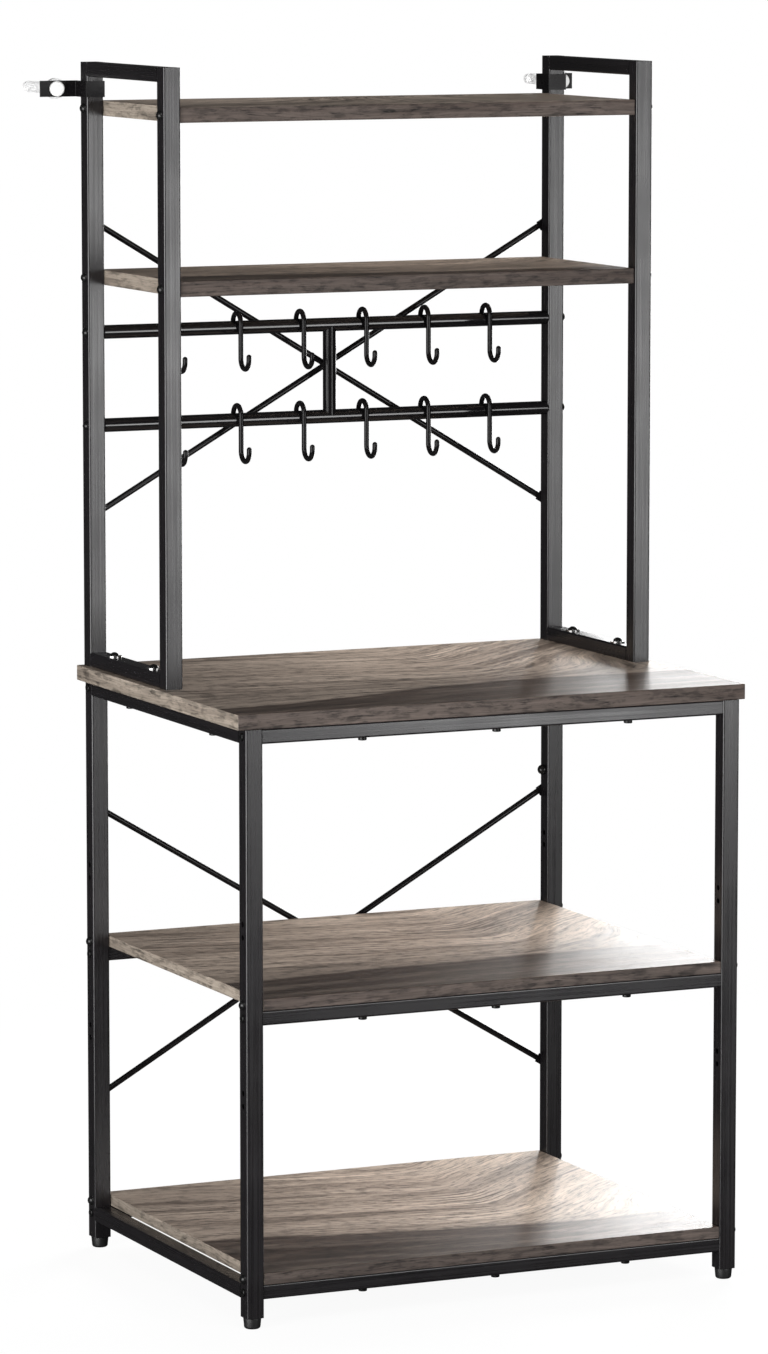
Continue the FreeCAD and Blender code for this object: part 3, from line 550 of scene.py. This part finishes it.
# The cup's profile: a flat sole, a quarter circle up the heel, a wall that flares to the brim, a quarter
# circle over the shoulder, then the stem, whose radius dips by a cosine along its thread.
def footProfile(stemTop):
    sole, heel, brim, shoulder, cupTop = (
        footLook[part] for part in ("sole", "heel", "brim", "shoulder", "cupTop"))
    turn = np.linspace(0, np.pi / 2, footLook["roundPoints"])
    heelRound = np.stack([sole + heel * np.sin(turn), heel - heel * np.cos(turn)], 1)
    shoulderRound = np.stack([brim - shoulder + shoulder * np.cos(turn),
                              cupTop - shoulder + shoulder * np.sin(turn)], 1)
    climb = np.linspace(cupTop, stemTop, footLook["stemPoints"])
    dip = footLook["dip"] * (1 - np.cos(2 * np.pi * (climb - cupTop) / footLook["pitch"]))
    thread = np.stack([footLook["stem"] - dip, climb], 1)
    return np.vstack([[0, 0], heelRound, shoulderRound, thread, [0, stemTop]])


for end in ("front", "rear"):
    for side in ("left", "right"):
        nodeName = f"foot_{end}_{side}"
        low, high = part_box(nodeName)
        axis = ((low.x + high.x) / 2, (low.y + high.y) / 2)
        cup = turnPiece(f"footCup_{end}_{side}", footProfile(high.z), axis, footLook["segments"])
        cup.data.materials.append(footPlastic)
        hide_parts(nodeName)
        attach(cup, nodeName)
print("feet turned")

stageLook = {
    "floorSize": 40.0,
    "floorTone": (0.88, 0.88, 0.88, 1),
    "floorRoughness": 0.9,
    "glow": (0.94, 1.0),       # how much of the floor is plain white, near the rack and far from it
    "glowReach": (0.6, 1.7),   # metres from the rack where that changes
    "fill": 0.3,               # the world's soft light on the rack
    "dimRoom": 0.05,           # what gloss sees beside the softboxes
}
plainWhite = (1, 1, 1, 1)


# The rays of the light path, and whether one comes from the eye, straight or through the plugs
def eyeRays(tree):
    rays = addNode(tree, "ShaderNodeLightPath").outputs
    return rays, addMath(tree, "MAXIMUM", rays["Is Camera Ray"], rays["Is Transmission Ray"])


# The floor is lit, with a plain white glow laid over it that takes over completely further out
floorMaterial, floorTree, floorShader, floorPlace = newMaterial("studioFloor")
setSockets(floorTree, floorShader, {"Base Color": stageLook["floorTone"],
                                    "Roughness": stageLook["floorRoughness"], "Specular IOR Level": 0.0})
reach = addNode(floorTree, "ShaderNodeVectorMath", {0: floorPlace["Object"]},
                operation="LENGTH").outputs["Value"]
glow = mapRange(floorTree, reach, *stageLook["glowReach"], *stageLook["glow"])
white = addNode(floorTree, "ShaderNodeEmission", {"Color": plainWhite, "Strength": 1.0})
blend = addNode(floorTree, "ShaderNodeMixShader", {0: times(floorTree, glow, eyeRays(floorTree)[1]),
                                                   1: floorShader.outputs[0], 2: white.outputs[0]})
setSockets(floorTree, floorTree.nodes["Material Output"], {"Surface": blend.outputs[0]})
floorHalf = stageLook["floorSize"] / 2
floorMesh = bpy.data.meshes.new("studioFloor")
floorMesh.from_pydata([(-floorHalf, -floorHalf, 0), (floorHalf, -floorHalf, 0),
                       (floorHalf, floorHalf, 0), (-floorHalf, floorHalf, 0)], [], [(0, 1, 2, 3)])
floorMesh.materials.append(floorMaterial)
studioFloor = placeObject("studioFloor", floorMesh)
studioFloor.visible_glossy = False
studioFloor.visible_shadow = False

# The world is white to the eye, a dim room to gloss, and a soft grey fill for everything else
world = bpy.data.worlds.new("studioWorld")
bpy.context.scene.world = world
world.use_nodes = True
worldTree = world.node_tree
rays, seen = eyeRays(worldTree)
strength = mixValues(worldTree, rays["Is Glossy Ray"], stageLook["fill"], stageLook["dimRoom"])
setSockets(worldTree, worldTree.nodes["Background"],
           {"Color": plainWhite, "Strength": mixValues(worldTree, seen, strength, 1.0)})

# centre, what it faces, width, height, watts, shape, and the rays that don't see it
lampLook = {
    "leftKey": ((-2.9, -1.35, 0.9), (0, 0, 0.75), 1.1, 1.6, 95, "RECTANGLE", "glossy"),
    "leftPanel": ((-2.9, -1.35, 0.75), (0, 0, 0.75), 2.6, 2.2, 165, "RECTANGLE", "diffuse"),
    "octabox": ((1.36, -3.0, 0.83), (0.15, 0, 0.75), 1.0, 1.45, 36, "ELLIPSE", None),
    "frontTop": ((-0.5, -2.9, 2.9), (0, 0, 0.4), 2.2, 1.2, 50, "RECTANGLE", None),
    "sheenBox": ((1.873, 2.074, 0.72), (0.879, 0, 0.72), 1.0, 1.1, 29, "RECTANGLE", None),
    "shelfFill": ((1.6, 1.55, 1.35), (0, 0, 0.5), 1.0, 1.0, 72, "RECTANGLE", "glossy"),
}
for name, (centre, target, width, height, power, shape, hidden) in lampLook.items():
    lamp = bpy.data.lights.new(name, "AREA")
    lamp.shape = shape
    lamp.size = width
    lamp.size_y = height
    lamp.energy = power
    softbox = placeObject(name, lamp)
    aim = np.array(target, float) - np.array(centre, float)
    turn = math.atan2(aim[1], aim[0]) - math.pi / 2
    tilt = math.pi / 2 + math.atan2(aim[2], math.hypot(aim[0], aim[1]))
    softbox.location = centre
    softbox.rotation_euler = (tilt, 0, turn)
    softbox.visible_camera = False
    if hidden:
        setattr(softbox, f"visible_{hidden}", False)
print("studio lit")

cameraLook = {
    "place": (-2.8450, -6.2032, 1.5550),
    "pitchDown": 7.458,
    "yaw": 24.664,
    "lens": 108.5,
    "sensor": 24.0,
    "clipEnd": 200,
}
cameraData = bpy.data.cameras.new("rackCamera")
cameraData.sensor_fit = "VERTICAL"
cameraData.sensor_height = cameraLook["sensor"]
cameraData.lens = cameraLook["lens"]
cameraData.clip_end = cameraLook["clipEnd"]
rackCamera = placeObject("rackCamera", cameraData)
rackCamera.location = cameraLook["place"]
rackCamera.rotation_euler = (math.radians(90 - cameraLook["pitchDown"]), 0, -math.radians(cameraLook["yaw"]))
bpy.context.scene.camera = rackCamera
bpy.context.scene.view_settings.view_transform = "Standard"

print("scene complete")
